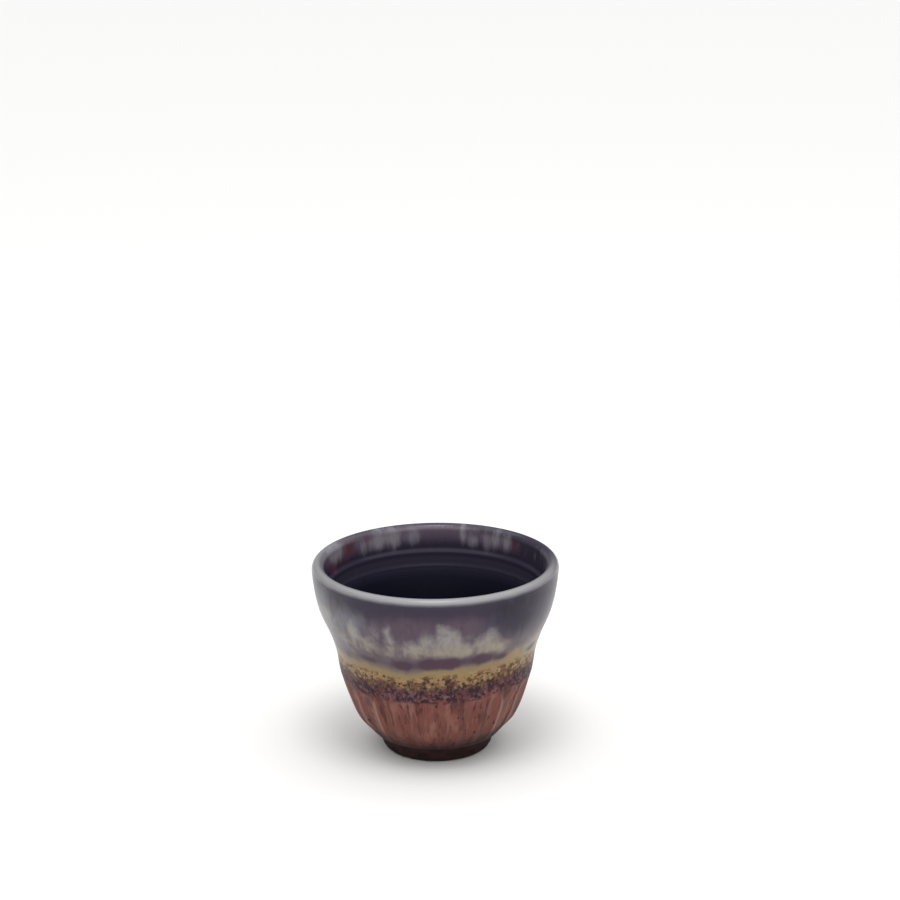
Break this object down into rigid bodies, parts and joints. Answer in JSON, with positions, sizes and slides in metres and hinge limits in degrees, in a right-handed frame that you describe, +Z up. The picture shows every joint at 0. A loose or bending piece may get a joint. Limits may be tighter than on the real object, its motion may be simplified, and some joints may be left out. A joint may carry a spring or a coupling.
{
  "type": "arabic coffee cup",
  "caption": "Handleless coffee cup with a flared collar, soft waist, fluted lower bowl and short foot ring, glazed violet, ochre and rust over dark clay.",
  "frame": {"origin": "centre of the foot ring on the table, at the bottom centre of the bounding box", "axes": "+Z up along the axis of the cup, -Y towards the viewer of the picture, +X to that viewer's right"},
  "size_m": [0.065, 0.065, 0.0517],
  "materials": {
    "clay": "matte",
    "lower_glaze": "satin",
    "ochre_glaze": "gloss",
    "upper_glaze": "gloss",
    "rim_glaze": "gloss",
    "inner_glaze": "gloss"
  },
  "bodies": {
    "root": {"clay_body": "clay", "lower_glaze": "lower_glaze", "ochre_glaze": "ochre_glaze", "upper_glaze": "upper_glaze", "rim_glaze": "rim_glaze", "inner_glaze": "inner_glaze"}
  },
  "joints": []
}
